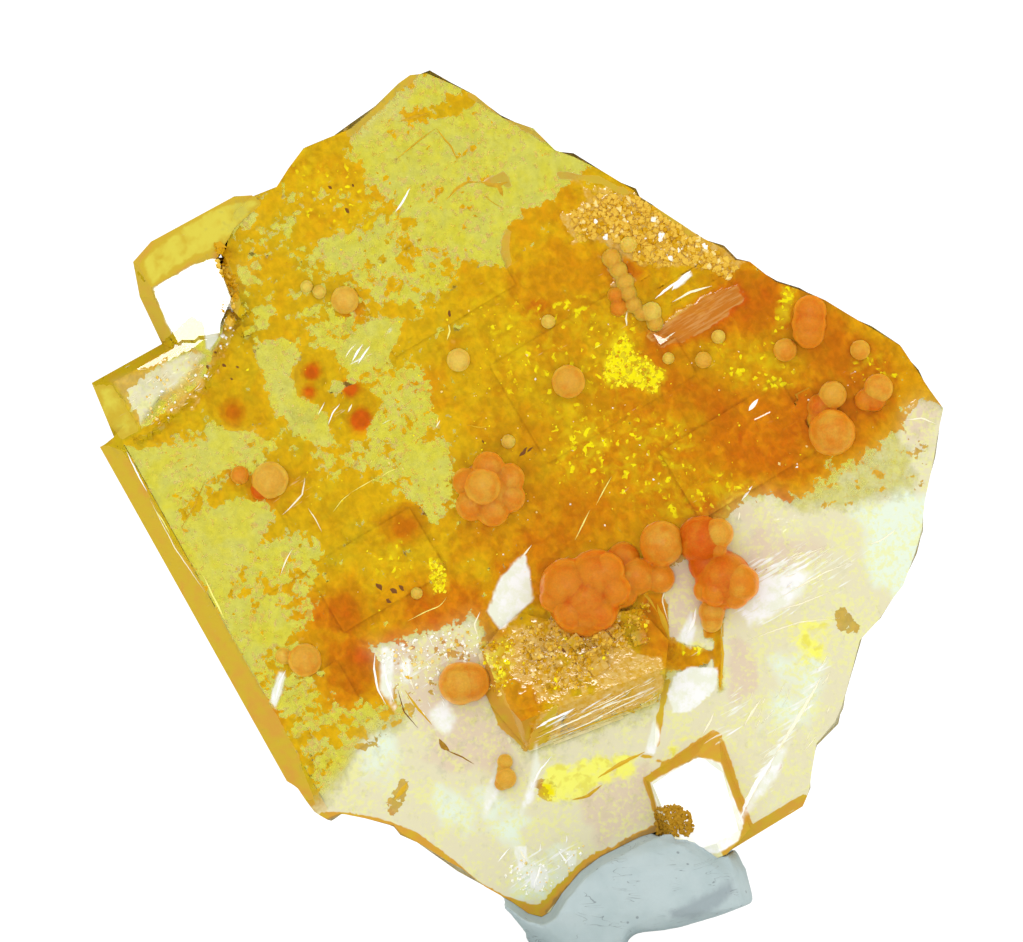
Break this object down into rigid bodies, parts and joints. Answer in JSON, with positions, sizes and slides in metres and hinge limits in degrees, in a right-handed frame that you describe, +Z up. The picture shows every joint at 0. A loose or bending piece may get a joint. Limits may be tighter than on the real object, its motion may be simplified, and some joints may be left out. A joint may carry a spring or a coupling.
{
  "type": "wulfenite crystal specimen",
  "caption": "Thin square tablet of clear yellow wulfenite with honey and orange patches, broken on two sides and dotted with orange mimetite balls, stood upright in a lump of display putty.",
  "frame": {"origin": "Middle of the footprint of the whole specimen, on the table that the putty stands on.", "axes": "+Z up. The crystal's front face looks along -Y and leans back by 5 degrees from upright. +X is to the right as the front face is seen."},
  "size_m": [0.0256, 0.0072, 0.0274],
  "materials": {
    "wulfenite": "clear yellow crystal, adamantine, honey-brown films and orange blotches inside",
    "mimetite": "waxy orange, smooth rounded balls",
    "pale_mimetite": "waxy peach, smooth rounded balls",
    "putty": "matte grey-blue putty, finger-smoothed, with fine scratches and specks"
  },
  "bodies": {
    "root": {"wulfenite_crystal": "wulfenite", "mimetite_large_clump": "mimetite", "mimetite_right_clump": "mimetite", "mimetite_rosette": "mimetite", "mimetite_oval_ball": "mimetite", "mimetite_left_ball": "mimetite", "mimetite_lower_left_balls": "mimetite", "mimetite_middle_ball": "mimetite", "mimetite_upper_balls": "mimetite", "mimetite_edge_balls": "mimetite", "mimetite_right_balls": "mimetite", "mimetite_far_right_balls": "mimetite", "mimetite_lower_pair": "mimetite", "mimetite_ridge": "mimetite", "mimetite_bead_1": "pale_mimetite", "mimetite_bead_2": "pale_mimetite", "mimetite_bead_3": "pale_mimetite", "mimetite_bead_4": "pale_mimetite", "mimetite_bead_5": "pale_mimetite", "mimetite_bead_6": "pale_mimetite", "mimetite_bead_7": "pale_mimetite", "mimetite_bead_8": "pale_mimetite", "mimetite_bead_9": "pale_mimetite", "mimetite_bead_10": "pale_mimetite", "mimetite_bead_11": "pale_mimetite", "mimetite_bead_12": "pale_mimetite", "mimetite_back_ball_1": "mimetite", "mimetite_back_ball_2": "mimetite", "mimetite_back_ball_3": "mimetite", "mimetite_back_ball_4": "mimetite", "mimetite_back_ball_5": "mimetite", "mimetite_back_ball_6": "mimetite", "mimetite_back_ball_7": "mimetite", "mimetite_back_ball_8": "mimetite", "mimetite_back_ball_9": "mimetite", "putty_foot": "putty"}
  },
  "joints": []
}
